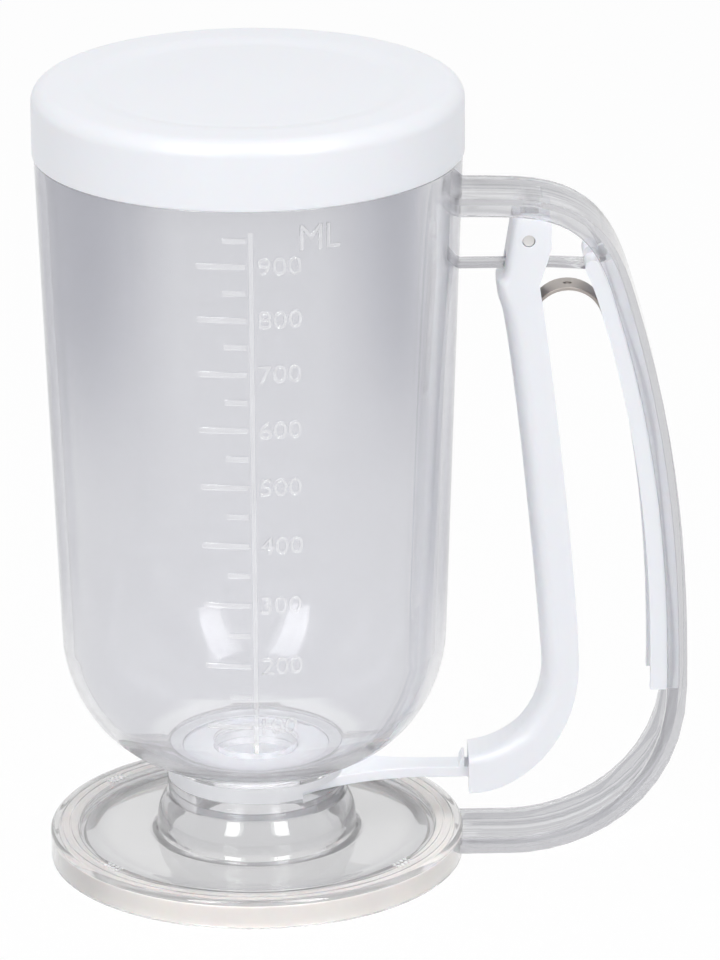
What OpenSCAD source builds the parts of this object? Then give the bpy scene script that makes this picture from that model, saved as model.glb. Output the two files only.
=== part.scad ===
// Squeeze-trigger batter dispenser: a clear graduated cup with a push-on lid stands on a clear
// flared base. A slide valve under the cup is pulled open by a sprung trigger that hangs from the
// U-channel handle. Millimetres, +Z up, origin on the cup axis in the plane the base stands on,
// handle towards +X.

/* [Cup] */
// Outer radius of the cup at the shoulder under the lid
cup_top_r = 51.2; // [44:0.1:60]
// Outer radius of the cup where the side wall meets the bowl
cup_low_r = 46.9; // [42:0.1:52]
// Height of the shoulder that the lid sits on
shoulder_z = 180.4; // [150:0.1:220]
// Height where the bowl starts
bowl_top_z = 57.2; // [48:0.1:75]
// Wall of the cup
cup_wall = 2.6; // [1.8:0.1:3.2]
// Height of the recessed rim inside the lid
rim_h = 10.6; // [6:0.1:12]
// Radius of the outlet in the floor
outlet_r = 10.4; // [8:0.1:13]
// Radius of the collar under the bowl
collar_r = 22.1; // [21:0.1:25]
// Height of the collar
collar_h = 1.8; // [1:0.1:4]

/* [Lid] */
// Step from the cup out to the side of the lid
lid_over = 0.4; // [0.2:0.1:1]
// Height of the lid
lid_h = 16.7; // [14:0.1:24]
// Thickness of the top of the lid
lid_top_t = 2; // [1.2:0.1:3]
// Rounding of the top edge
lid_edge_r = 4; // [2:0.1:5]
// Radius of the dished middle
dish_r = 37.5; // [20:0.1:42]
// Depth of the dished middle
dish_d = 0.9; // [0.4:0.1:1.5]
// Gap between the lid skirt and the rim
lid_gap = 0.3; // [0.3:0.05:0.5]
// Radial clearance at the bead that holds the lid
bead_fit = 0.08; // [0.05:0.01:0.1]

/* [Slide valve] */
// Radius of the valve disc
slide_r = 18.2; // [16:0.1:18.4]
// Thickness of the valve slide
slide_t = 2.6; // [2:0.1:3]
// Height of the underside of the slide
slide_z = 19.9; // [19:0.1:21]
// Width of the pull arm
arm_w = 6.8; // [5:0.1:8]
// Radius of the flare from the arm into the disc
arm_flare_r = 50; // [30:1:60]
// Clearance above and below the slide
slide_gap = 0.15; // [0.1:0.05:0.3]
// Outer radius of the valve housing
housing_r = 21.7; // [21:0.1:22]
// Depth of the seat under the slide
seat_h = 3.5; // [2:0.1:5]

/* [Base] */
// Outer radius of the base
base_r = 50.9; // [46:0.1:58]
// Height of the rim of the base
base_h = 7.7; // [7:0.1:10]
// Wall of the base and its skirt
base_wall = 1.8; // [1.4:0.1:2.4]
// Depth of the sunken middle below the rim
base_sink = 0.8; // [0.4:0.1:1.5]
// Width of the soft foot ring
foot_w = 5; // [3:0.1:8]
// Outer radius of the neck where it stands on the base
neck_r = 24.4; // [23:0.1:27]
// Height of the shoulder of the neck above the base
neck_h = 3.6; // [2:0.1:6]
// Radius of the step in the sunken middle
step_r = 40; // [34:0.1:41.5]
// Depth of the step in the sunken middle
step_d = 0.4; // [0.2:0.1:0.6]

/* [Handle] */
// Width of the handle channel
handle_w = 20; // [19:0.1:24]
// Wall of the handle channel
handle_wall = 1.9; // [1.4:0.1:2]
// Distance from the shoulder of the cup out to the grip
handle_out = 54.2; // [50:0.1:64]
// Drop from the shoulder down to the top of the handle
handle_drop = 10.4; // [6:0.1:20]
// Height of the underside of the handle foot
handle_foot_z = 2.1; // [1:0.1:2.6]
// Depth of the channel along the top
depth_top = 4.4; // [4:0.1:5]
// Depth of the channel at the end of the bend
depth_bend = 5.1; // [4.4:0.1:5.5]
// Depth of the channel along the grip
depth_grip = 4.8; // [4.4:0.1:5.5]
// Depth of the channel at the foot
depth_foot = 3.8; // [3.2:0.1:4.5]
// Width of the bridge between the cup and the grip
bridge_w = 4.4; // [3:0.1:6]
// Thickness of the bridge
bridge_t = 1.6; // [1.2:0.1:2.2]

/* [Grip liner] */
// How far the liner stands out of the channel
liner_proud = 4; // [3:0.1:5]
// Wall of the liner
liner_wall = 1.5; // [1:0.1:2]
// Step from the side of the handle in to the side of the liner
liner_step = 0.6; // [0.3:0.1:1]

/* [Trigger] */
// Distance from the shoulder of the cup out to the pivot
pivot_out = 15.4; // [14:0.1:18]
// Drop from the top of the handle down to the pivot
pivot_drop = 11.3; // [10.5:0.1:12]
// Width of the trigger
trigger_w = 14; // [13:0.1:15]
// Wall of the trigger
trigger_wall = 1.7; // [1.2:0.1:2]
// Radius of the pivot pin
pin_r = 1.5; // [1:0.1:1.8]
// Running clearance of the pin in the ears
pin_fit = 0.06; // [0.02:0.01:0.1]
// Height of the ears above the pivot
ear_h = 6.8; // [6:0.1:8]
// Reach of the ears behind the pivot
ear_back = 5.5; // [4.5:0.1:6.5]
// Reach of the ears in front of the pivot at the top
ear_front = 3.6; // [3.4:0.1:5]
// Reach of the neck in front of the pivot
neck_front = 7.5; // [7.4:0.1:8.5]
// Reach of the neck behind the pivot
neck_back = 2.6; // [1.5:0.1:3.5]
// Drop from the pivot down to the neck
neck_drop = 8.8; // [8:0.1:10]
// Height of the knee above the slide
knee_h = 30; // [26:0.5:36]
// Distance from the low end out to the front of the knee
knee_front = 18.1; // [15:0.1:20]
// Depth of the trigger at the knee
knee_depth = 8.8; // [7.5:0.1:10]
// Height of the low end above the underside of the slide
end_rise = 6.4; // [5:0.1:8]
// Depth of the low end below the underside of the slide
end_sink = 3; // [2:0.1:4]

/* [Leaf spring] */
// Width of the spring strip
spring_w = 8; // [5:0.1:9]
// Thickness of the spring strip
spring_t = 0.8; // [0.4:0.1:1]
// Radius of the hole in the arch
spring_hole_r = 1; // [0.5:0.1:2]
// Drop from the bridge down to the arch
arch_drop = 4.9; // [3:0.1:6]
// Distance from the pivot out to the middle of the arch
arch_out = 9.6; // [8.5:0.1:10.5]
// Half the width of the arch
arch_half = 8.8; // [7:0.1:9]
// Drop from the pivot down to the ends of the strip
leg_drop = 54; // [40:0.5:60]

/* [Hidden] */
$fn = 128;
eps = 0.01;

clear_plastic = [0.83, 0.84, 0.87, 0.45];
white_plastic = [0.94, 0.95, 0.97];
milky_rubber = [0.92, 0.90, 0.87];
steel = [0.55, 0.53, 0.51];

// Heights of the stack: seat, slide, outlet floor, collar and bowl
housing_z = slide_z - slide_gap - seat_h;
outlet_z = slide_z + slide_t + slide_gap;
collar_z = outlet_z + 2;
bowl_z = collar_z + collar_h;
seat_r = slide_r - 3.2;
bore_r = slide_r + 0.3;
spigot_r = bore_r - 0.05;

// Lid and the recessed rim that it covers
lid_r = cup_top_r + lid_over;
skirt_t = 1.4;
lid_bore_r = lid_r - skirt_t;
rim_r = lid_bore_r - lid_gap;
bead_r = lid_bore_r - bead_fit;

// Base: disc, skirt, and the pocket for the foot ring
disc_top_z = base_h - base_sink;
skirt_z = 0.3;
skirt_bore_r = base_r - base_wall;
pocket_r = skirt_bore_r - foot_w - 0.1;
foot_h = base_h - base_wall - 0.05;

// Handle frame
grip_x = cup_top_r + handle_out;
handle_top_z = shoulder_z - handle_drop;
waist_z = 46;
flange_in = handle_w / 2 - handle_wall;

// Pivot and the low end of the trigger
pivot = [cup_top_r + pivot_out, handle_top_z - pivot_drop];
ear_in = trigger_w / 2 - trigger_wall;
lug_w = 2 * ear_in - 1;
lug_r = 2.4;
end_x = cup_top_r + 1;
end_wall = 1.8;
bridge_z = pivot.y - 8;
liner_low_z = waist_z - 1.4;
liner_gap = 0.3;
liner_fit = 0.1;

// The pull arm ends in a head inside the trigger and a shoulder outside its end wall
head_gap = 0.6;
shoulder_gap = 0.95;
head_x = end_x + end_wall + head_gap;
head_l = 2.5;
tab_t = 1.3;
tab_h = 2.6;
head_w = 2 * ear_in - 1.2;
shoulder_x = end_x - shoulder_gap;
slot_w = arm_w + 0.8;
slot_top_z = slide_z + slide_t + 1.2;

// ---- Curves -------------------------------------------------------------------------------
function polar(length, angle) = length * [cos(angle), sin(angle)];

function bezier(p, t) =
    pow(1 - t, 3) * p[0] + 3 * pow(1 - t, 2) * t * p[1] + 3 * (1 - t) * t * t * p[2] + pow(t, 3) * p[3];

// A knot is [point, heading, length in, length out, depth]
function span(a, b) = [a[0], a[0] + polar(a[3], a[1]), b[0] - polar(b[2], b[1]), b[0]];

function curve(knots, steps) = [
    for (k = [0 : len(knots) - 2], i = [0 : steps - 1]) bezier(span(knots[k], knots[k + 1]), i / steps),
    knots[len(knots) - 1][0]
];

function depths(knots, steps) = [
    for (k = [0 : len(knots) - 2], i = [0 : steps - 1])
        let (t = i / steps) knots[k][4] * (1 - t) + knots[k + 1][4] * t,
    knots[len(knots) - 1][4]
];

function side(points, i) =
    let (last = len(points) - 1, d = points[min(i + 1, last)] - points[max(i - 1, 0)])
    [d.y, -d.x] / norm(d);

// The curve moved to its right-hand side by one distance, or by one for each point
function moved(points, by) = [
    for (i = [0 : len(points) - 1]) points[i] + (is_list(by) ? by[i] : by) * side(points, i)
];

function reversed(points) = [for (i = [len(points) - 1 : -1 : 0]) points[i]];

function arc(centre, r, from, to, steps) = [
    for (i = [0 : steps]) centre + polar(r, from + (to - from) * i / steps)
];

module band(points, from, to) {
    polygon(concat(moved(points, from), reversed(moved(points, to))));
}

// Extrudes an outline drawn in X and Z by width along Y, centred on the handle plane
module across(width) {
    translate([0, width / 2, 0])
        rotate([90, 0, 0])
            linear_extrude(width)
                children();
}

// The same on both sides, from the half width inner to the half width outer
module both_sides(inner, outer) {
    for (y = [outer, -inner])
        translate([0, y, 0])
            rotate([90, 0, 0])
                linear_extrude(outer - inner)
                    children();
}

// ---- Cup and lid --------------------------------------------------------------------------
bowl = curve([
    [[collar_r, bowl_z], 14.8, 0, 0.92 * (cup_low_r - collar_r)],
    [[cup_low_r, bowl_top_z], 88, 0.12 * (bowl_top_z - bowl_z), 0]
], 20);

// Outer shape of the cup side, used to seat what is joined to it
module cup_cone() {
    rotate_extrude()
        polygon([
            [0, bowl_top_z], [cup_low_r, bowl_top_z], [cup_top_r, shoulder_z], [0, shoulder_z]
        ]);
}

module cup() {
    inner_r = cup_top_r - cup_wall;
    rim_z = shoulder_z + rim_h;
    bead_z = shoulder_z + 3.5;
    inner_bowl = moved(bowl, -cup_wall);
    color(clear_plastic)
        rotate_extrude()
            polygon(concat(
                [[outlet_r, outlet_z], [spigot_r, outlet_z], [spigot_r, collar_z], [collar_r, collar_z]],
                bowl,
                [[cup_top_r, shoulder_z], [rim_r, shoulder_z], [rim_r, bead_z],
                 [bead_r, bead_z + 0.6], [bead_r, bead_z + 2], [rim_r, bead_z + 2.6],
                 [rim_r, rim_z], [inner_r, rim_z], [inner_r, shoulder_z]],
                reversed(inner_bowl),
                [[outlet_r, inner_bowl[0].y]]
            ));
}

module lid() {
    top_z = shoulder_z + lid_h;
    inner_edge_r = lid_edge_r - skirt_t + 0.4;
    roof_z = top_z - dish_d - lid_top_t;
    color(white_plastic)
        rotate_extrude()
            polygon(concat(
                [[lid_bore_r, shoulder_z], [lid_r, shoulder_z]],
                arc([lid_r - lid_edge_r, top_z - lid_edge_r], lid_edge_r, 0, 90, 12),
                arc([dish_r + 3, top_z - dish_d / 2], dish_d / 2, 90, 180, 4),
                arc([dish_r, top_z - dish_d / 2], dish_d / 2, 0, -90, 4),
                [[0, top_z - dish_d], [0, roof_z]],
                arc([lid_bore_r - inner_edge_r, roof_z - inner_edge_r], inner_edge_r, 90, 0, 8)
            ));
}

// ---- Slide valve --------------------------------------------------------------------------
module valve_housing() {
    color(clear_plastic)
        difference() {
            translate([0, 0, housing_z])
                cylinder(r = housing_r, h = collar_z - housing_z);
            translate([0, 0, housing_z - eps])
                cylinder(r = seat_r, h = seat_h + 1);
            translate([0, 0, housing_z + seat_h])
                cylinder(r = bore_r, h = collar_z - housing_z);
            // The slide leaves the housing through this slot
            translate([0, -bore_r, housing_z + seat_h])
                cube([housing_r + 1, 2 * bore_r, slide_t + 2 * slide_gap]);
        }
}

module valve_slide() {
    flare_y = arm_w / 2 + arm_flare_r;
    flare_x = sqrt(pow(slide_r + arm_flare_r, 2) - flare_y * flare_y);
    touch = [flare_x, flare_y] * slide_r / (slide_r + arm_flare_r);
    color(white_plastic)
        union() {
            translate([0, 0, slide_z])
                cylinder(r = slide_r, h = slide_t);
            // Arm with a concave flare into the disc
            translate([0, 0, slide_z])
                linear_extrude(slide_t)
                    difference() {
                        translate([0, -touch.y])
                            square([flare_x, 2 * touch.y]);
                        translate([-eps, -touch.y - eps])
                            square([touch.x, 2 * touch.y + 2 * eps]);
                        for (y = [flare_y, -flare_y])
                            translate([flare_x, y])
                                circle(r = arm_flare_r);
                    }
            translate([0, -arm_w / 2, slide_z])
                cube([head_x + eps, arm_w, slide_t]);
            translate([head_x, -head_w / 2, slide_z])
                cube([head_l, head_w, slide_t]);
            across(arm_w)
                translate([shoulder_x, slide_z + slide_t])
                    polygon([
                        [-tab_t, -eps], [0, -eps], [0, tab_h], [-0.4 * tab_t, tab_h], [-tab_t, 0.4 * tab_h]
                    ]);
        }
}

// ---- Base ---------------------------------------------------------------------------------
module base_stand() {
    floor_z = disc_top_z - step_d;
    under_z = floor_z - base_wall + 0.2;
    neck_wall = 2.4;
    neck_z = disc_top_z + neck_h;
    edge_r = 1.2;
    root_r = 0.65 * neck_h;
    wall_in = pocket_r - 1.5;
    shoulder = curve([
        [[housing_r + 0.5, housing_z], -64, 0, 0.4 * (housing_z - neck_z)],
        [[neck_r, neck_z], -84, 0.5 * (housing_z - neck_z), 0]
    ], 6);
    color(clear_plastic)
        rotate_extrude()
            polygon(concat(
                [[housing_r - neck_wall, housing_z]],
                shoulder,
                arc([neck_r + root_r, floor_z + root_r], root_r, 180, 270, 4),
                [[step_r - 1.4, floor_z], [step_r + 1.4, disc_top_z]],
                [[pocket_r - 0.3, disc_top_z], [pocket_r - 0.3, base_h]],
                arc([base_r - edge_r, base_h - edge_r], edge_r, 90, 0, 5),
                [[base_r, skirt_z], [skirt_bore_r, skirt_z], [skirt_bore_r, base_h - base_wall],
                 [pocket_r, base_h - base_wall], [pocket_r, skirt_z + 1.5], [wall_in, skirt_z + 1.5],
                 [wall_in, under_z], [neck_r - neck_wall, under_z]],
                reversed(moved(shoulder, neck_wall))
            ));
}

module foot_ring() {
    color(milky_rubber)
        rotate_extrude()
            translate([pocket_r + 0.05, 0])
                square([foot_w, foot_h]);
}

// ---- Handle -------------------------------------------------------------------------------
// Outer edge of the handle, from the cup over the grip and down to the foot
handle_knots = [
    [[cup_top_r - 4, handle_top_z + 0.4], -1, 0, 5, depth_top],
    [[cup_top_r + 12.8, handle_top_z], -3, 5, 18, depth_top],
    [[grip_x - 13.6, handle_top_z - 23.8], -73, 14, 0.4 * (handle_top_z - 24 - waist_z), depth_bend],
    [[grip_x, waist_z], -90, 0.29 * (handle_top_z - 24 - waist_z), 0.68 * waist_z, depth_grip],
    [[cup_top_r + 10.8, handle_foot_z], -181, 0.34 * (grip_x - cup_top_r), 4, depth_foot],
    [[cup_low_r - 4, handle_foot_z], -180, 4, 0, depth_foot]
];
edge_steps = 12;
handle_edge = curve(handle_knots, edge_steps);
handle_depth = depths(handle_knots, edge_steps);
// The liner starts just above the third knot, where the bridge meets the grip
liner_start = 2 * edge_steps - 3;

// Lug that carries the pin between the ears of the trigger
module pivot_lug() {
    across(lug_w) {
        translate([pivot.x - 0.4 * lug_r, pivot.y])
            square([1.4 * lug_r, pivot_drop - handle_wall / 2]);
        translate(pivot)
            circle(r = lug_r, $fn = 64);
    }
}

// Thin bar from the cup to the grip under the pivot, thicker where it meets the grip
module bridge() {
    across(bridge_w)
        polygon([
            [cup_low_r, bridge_z], [pivot.x + ear_back, bridge_z], [grip_x - 24, bridge_z - 0.6],
            [grip_x - 16.5, bridge_z - 0.8], [grip_x - 16.5, bridge_z + bridge_t],
            [grip_x - 24, bridge_z + bridge_t - 0.4], [pivot.x + ear_back, bridge_z + bridge_t],
            [cup_low_r, bridge_z + bridge_t]
        ]);
}

module handle() {
    color(clear_plastic)
        difference() {
            union() {
                across(handle_w)
                    band(handle_edge, 0, handle_wall);
                both_sides(flange_in, handle_w / 2)
                    band(handle_edge, 0, handle_depth);
                pivot_lug();
                bridge();
            }
            cup_cone();
            cylinder(r = base_r, h = base_h);
            translate([pivot.x, 0, pivot.y])
                rotate([90, 0, 0])
                    cylinder(r = pin_r, h = handle_w, center = true, $fn = 48);
        }
}

// The liner lies in the channel, with a wider lip in front of it that ends in two round lobes
module grip_liner() {
    lip_w = handle_w - 2 * liner_step;
    in_w = 2 * (flange_in - liner_fit);
    cavity_w = in_w - 2 * liner_wall;
    last = len(handle_edge) - 1;
    edge = [for (i = [liner_start : last]) handle_edge[i]];
    seat = [for (i = [liner_start : last]) handle_depth[i] + liner_fit];
    front = depth_grip + liner_fit + liner_proud;
    lobe_at = edge[0] + (seat[0] + front) / 2 * side(edge, 0);
    color(white_plastic)
        difference() {
            union() {
                across(lip_w) {
                    band(edge, seat, front);
                    translate(lobe_at)
                        circle(d = front - seat[0], $fn = 32);
                }
                across(in_w)
                    band(edge, handle_wall + liner_fit, [for (d = seat) d + liner_proud / 4]);
            }
            across(cavity_w)
                band(edge, handle_wall + liner_wall, front + liner_proud);
            translate([0, -handle_w, 0])
                cube([2 * grip_x, 2 * handle_w, liner_low_z]);
            // The liner forks round the bridge
            translate([0, -bridge_w / 2 - liner_gap, bridge_z - 2 * bridge_t])
                cube([2 * grip_x, bridge_w + 2 * liner_gap, pivot.y]);
        }
}

// ---- Trigger ------------------------------------------------------------------------------
knee_z = slide_z + knee_h;
knee_back = knee_front + knee_depth;
stem_h = pivot.y - neck_drop - knee_z;
trigger_front = curve([
    [pivot + [-neck_front, -1.36 * neck_drop], -90, 0, 0.3 * neck_drop],
    [pivot + [-0.79 * neck_front, -2.15 * neck_drop], -80, 0.3 * neck_drop, 0.2 * stem_h],
    [[end_x + knee_front, knee_z], -86, 0.2 * stem_h, 0.72 * knee_front],
    [[end_x, slide_z + end_rise], -174, 0.55 * knee_front, 0]
], 12);
trigger_back = curve([
    [pivot + [neck_back, -1.25 * neck_drop], -81, 0, 0.2 * stem_h],
    [[end_x + knee_back, knee_z + 0.03 * knee_h], -89, 0.2 * stem_h, 0.78 * knee_back],
    [[end_x, slide_z - end_sink], -182, 0.45 * knee_back, 0]
], 14);
ear = [
    [neck_back, -1.25 * neck_drop], [0.84 * ear_back, -0.55 * neck_drop], [ear_back, -0.2 * neck_drop],
    [ear_back, 0.78 * ear_h], [0.77 * ear_back, 0.97 * ear_h], [-0.7 * ear_front, ear_h],
    [-ear_front, 0.87 * ear_h], [-0.75 * neck_front, -0.8 * neck_drop], [-0.8 * neck_front, -neck_drop],
    [-neck_front, -1.2 * neck_drop], [-neck_front, -1.36 * neck_drop], [0, -1.5 * neck_drop]
];

// Front of the trigger, from the top of the ears down
trigger_face = concat(
    [for (p = [[-ear_front, 0.87 * ear_h], [-0.75 * neck_front, -0.8 * neck_drop],
               [-0.8 * neck_front, -neck_drop], [-neck_front, -1.2 * neck_drop]]) pivot + p],
    trigger_front
);

module trigger_side() {
    polygon(concat(trigger_front, reversed(trigger_back)));
    translate(pivot)
        polygon(ear);
}

module trigger() {
    color(white_plastic)
        difference() {
            union() {
                both_sides(ear_in, trigger_w / 2)
                    trigger_side();
                across(trigger_w - 1)
                    band(trigger_face, 0, -trigger_wall);
                intersection() {
                    across(trigger_w - 1)
                        trigger_side();
                    translate([end_x, -trigger_w, 0])
                        cube([end_wall, 2 * trigger_w, slide_z + 20]);
                }
            }
            // Notch that the pull arm hooks into from below
            translate([end_x - 1, -slot_w / 2, slot_top_z - 20])
                cube([end_wall + 1 + eps, slot_w, 20]);
            // Slot that the bridge passes through, long enough for the whole pull
            translate([pivot.x - 2 * neck_front, -bridge_w / 2 - 0.5, bridge_z - 0.5])
                cube([2 * neck_front, bridge_w + 1, bridge_t + 2.2]);
            translate([pivot.x, 0, pivot.y])
                rotate([90, 0, 0])
                    cylinder(r = pin_r + pin_fit, h = trigger_w + 2, center = true, $fn = 48);
        }
}

module pivot_pin() {
    color(steel)
        translate([pivot.x, 0, pivot.y])
            rotate([90, 0, 0])
                cylinder(r = pin_r, h = trigger_w - 0.8, center = true, $fn = 48);
}

// Strip bent into an arch, with one leg in the trigger and the other in the liner
module leaf_spring() {
    arch = [pivot.x + arch_out, bridge_z - arch_drop];
    leg_z = pivot.y - leg_drop;
    slope = 71;
    turn = 0.55 * arch_half;
    knee = arch + arch_half * [sin(slope), cos(slope) - 1];
    strip = curve([
        [[arch.x - 0.9 * arch_half, leg_z], 92, 0, turn],
        [arch - [arch_half, arch_half], 90, turn, turn],
        [arch, 0, turn, 0.43 * arch_half],
        [knee, -slope, 0.43 * arch_half, arch_half],
        [[knee.x + (knee.y - leg_z) / tan(slope), leg_z], -slope, arch_half, 0]
    ], 10);
    color(steel)
        difference() {
            across(spring_w)
                band(strip, -spring_t / 2, spring_t / 2);
            translate([arch.x, 0, arch.y])
                cylinder(r = spring_hole_r, h = 4 * spring_t, center = true, $fn = 32);
        }
}

cup();
lid();
valve_housing();
valve_slide();
base_stand();
foot_ring();
handle();
grip_liner();
trigger();
pivot_pin();
leaf_spring();
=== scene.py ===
"""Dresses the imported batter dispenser: clear plastics, satin whites, a milky foot and spring steel."""
import math

import bmesh
import bpy
from mathutils import Matrix, Vector
from mathutils.kdtree import KDTree


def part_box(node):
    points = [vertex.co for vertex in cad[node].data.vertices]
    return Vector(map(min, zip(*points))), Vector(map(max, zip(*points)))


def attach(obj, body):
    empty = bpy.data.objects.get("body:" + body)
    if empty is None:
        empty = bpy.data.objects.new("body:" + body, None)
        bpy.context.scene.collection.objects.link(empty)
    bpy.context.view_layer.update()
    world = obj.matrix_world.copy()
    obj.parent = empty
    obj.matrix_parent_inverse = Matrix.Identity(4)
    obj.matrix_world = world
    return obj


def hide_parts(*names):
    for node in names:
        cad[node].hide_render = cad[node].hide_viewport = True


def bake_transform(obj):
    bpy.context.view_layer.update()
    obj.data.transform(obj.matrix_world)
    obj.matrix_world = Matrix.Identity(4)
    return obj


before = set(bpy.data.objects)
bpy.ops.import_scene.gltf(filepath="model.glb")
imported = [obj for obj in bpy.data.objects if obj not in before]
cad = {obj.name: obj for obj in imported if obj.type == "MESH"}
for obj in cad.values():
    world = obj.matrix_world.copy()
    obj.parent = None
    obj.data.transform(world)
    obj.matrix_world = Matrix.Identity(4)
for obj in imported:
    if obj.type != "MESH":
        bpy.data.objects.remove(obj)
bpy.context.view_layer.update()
scene = bpy.context.scene
MM = 0.001


# ---- Places from the frame -----------------------------------------------------------------------
def corners_of(node):
    """Lowest and highest corner of a CAD node."""
    return [Vector(corner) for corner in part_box(node)]


housing_low, housing_high = corners_of("valve_housing")
handle_low, handle_high = corners_of("handle")
trigger_low, trigger_high = corners_of("trigger")
pivot = sum(corners_of("pivot_pin"), Vector()) / 2
slide_top = corners_of("valve_slide")[1].z
base_radius = corners_of("base_stand")[1].x

# ---- Sizes ---------------------------------------------------------------------------------------
SEGMENTS = 192  # faces round the cup axis
SAME_POINT = 0.002 * MM  # closer points are joined
HAIR = 0.01 * MM  # tolerance when places are compared
SEAM = 0.03 * MM  # between welded turned parts
GAP = Vector((0.04, 0.04, 0.04)) * MM  # between the two halves of a part that is cut
FLAT, STRAIGHT = math.radians(0.15), math.radians(0.2)  # smaller turns count as none
CORNER = math.radians(20.0)  # a section turns more than this at a corner
OUTLINE = 1.0  # in radians: sharper edges are the outline of a flat side
LONG_SIDE = 3  # a side this many times as long as the next one sets the direction between them
CURVE_STEPS, FILLET_STEPS = 4, 3
FILLET_SHARE = 0.42  # the most that a fillet takes of a side

CLEAR_FILLET, SOFT_FILLET = 0.35 * MM, 0.5 * MM
DISH_INNER, DISH_OUTER = 34.5 * MM, 41.5 * MM  # the slope round the dish of the lid
DISH_STEPS = 12
RIM_INSIDE = base_radius - 10.9 * MM  # the rim of the base lies beyond this radius
GROOVE_PLACES = (0.25, 0.6)  # where the grooves lie across the top of the rim, as shares of it
GROOVE = ((-0.4, 0.0), (-0.12, 0.1), (0.12, 0.1), (0.4, 0.0))  # along and down, in mm

BAR_RELIEF = 0.22 * MM
FIGURE_RELIEF = 0.3 * MM
LIFT = 0.02 * MM  # between the cup and its marks
CUP_MIDDLE = 116 * MM  # the height at which widths on the cup are true
FIRST_MARK, MARK_STEP, MARK_CLOSING = 50.7 * MM, 15.96 * MM, 0.203 * MM
BAR, BAR_EDGE = 1.4 * MM, 0.18 * MM
BAR_RIGHT, LONG_LEFT, SHORT_LEFT = -0.9 * MM, -12.2 * MM, -6.2 * MM
LINE_LEFT, LINE_RIGHT = -0.4 * MM, 0.8 * MM
LINE_LOW, LINE_HIGH = 42.5 * MM, 175.5 * MM
FIGURE_LEFT, FIGURE_TALL, FIGURE_STRETCH = 1.6 * MM, 4.4 * MM, 1.16
UNIT = ("ML", 11.2 * MM, 173.6 * MM, 6.3 * MM, 0.9)  # a word, as scale_figures takes it

PIP_ANGLES = (39, 141, 219, 321)
PIP_RADII = (base_radius - 6.5 * MM, base_radius - 5.1 * MM)
PIP_PLACES = (-2.1 * MM, -0.7 * MM, 0.7 * MM, 2.1 * MM)
PIP = (0.55 * MM, 0.55 * MM, 0.25 * MM)  # half its size along each axis

TRIGGER_EDGE, LINER_EDGE, SLIDE_EDGE, SPRING_EDGE = 0.4 * MM, 0.8 * MM, 0.5 * MM, 0.12 * MM
HANDLE_EDGE, LUG_EDGE, HOUSING_EDGE, COLLAR_EDGE = 0.45 * MM, 0.2 * MM, 0.25 * MM, 0.15 * MM
EAR_ROUND, NECK_GAIN = 2.5 * MM, 1.9 * MM  # front radius of the ears, and what it gains over the neck
NECK_TOP, NECK_END = 9 * MM, 22 * MM  # the neck of the trigger, down from the pivot
END_SHARE, END_HEIGHT = 0.4, 8 * MM  # what is left of the radius at the lower end, and over what height
EAR_TOP = 1.3 * MM  # the front of the trigger starts this near the top of its ears
CUTTER_PITCH, CUTTER_MARGIN = 0.8 * MM, 1.0 * MM
CUTTER_REACH = 3  # sections to each side that set the direction of one
LUG = Vector((3.0, 4.6, 3.0)) * MM  # from the pivot to the sides and the lower end of the lug
LUG_COVER = 2.35 * MM  # from the top of the handle down to the lug
FLOW_LINE = 0.2 * MM  # pitch of the points that the depth in the handle is measured from
CLEAR_HEIGHT = 4.5 * MM  # clear lower part of the valve housing
BEYOND = Vector((1, 1, 1)) * MM  # from the housing to the faces of the block that divides it
PIN_SUNK, PIN_CHAMFER = 0.3 * MM, 0.25 * MM
DIMPLE_RIM, DIMPLE_DEPTH = 0.4 * MM, 0.3 * MM


# ---- Node expressions ----------------------------------------------------------------------------
class Wire:
    """A node socket. Used in an expression, it adds Math nodes to its tree."""

    def __init__(self, nodes, socket):
        self.nodes = nodes
        self.socket = socket

    def math(self, operation, *values):
        return self.nodes.add("ShaderNodeMath", {"operation": operation}, dict(enumerate(values)))

    def __add__(self, other):
        return self.math("ADD", self, other)

    def __mul__(self, other):
        return self.math("MULTIPLY", self, other)

    def __sub__(self, other):
        return self.math("SUBTRACT", self, other)

    def __rsub__(self, other):
        return self.math("SUBTRACT", other, self)

    def larger(self, other):
        return self.math("MAXIMUM", self, other)

    def smaller(self, other):
        return self.math("MINIMUM", self, other)

    def root(self):
        return self.math("SQRT", self)

    def size(self):
        return self.math("ABSOLUTE", self)

    __radd__ = __add__
    __rmul__ = __mul__


class Nodes:
    """Adds nodes to one tree: a node's settings first, then the value or the link of each socket."""

    def __init__(self, tree):
        self.tree = tree
        tree.nodes.clear()

    def add(self, kind, settings=None, sockets=None, out=0):
        node = self.tree.nodes.new(kind)
        for key, value in (settings or {}).items():
            setattr(node, key, value)
        for key, value in (sockets or {}).items():
            if isinstance(value, Wire):
                self.tree.links.new(value.socket, node.inputs[key])
            else:
                node.inputs[key].default_value = value
        return Wire(self, node.outputs[out]) if node.outputs else None

    def mixed(self, factor, first, second):
        return self.add("ShaderNodeMixShader", sockets={0: factor, 1: first, 2: second})

    def seen_directly(self):
        """1 for rays from the camera, from gloss and through glass, which see a white background."""
        camera, gloss, glass = (
            self.add("ShaderNodeLightPath", out=name)
            for name in ("Is Camera Ray", "Is Glossy Ray", "Is Transmission Ray")
        )
        return camera.larger(gloss).larger(glass)


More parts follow.
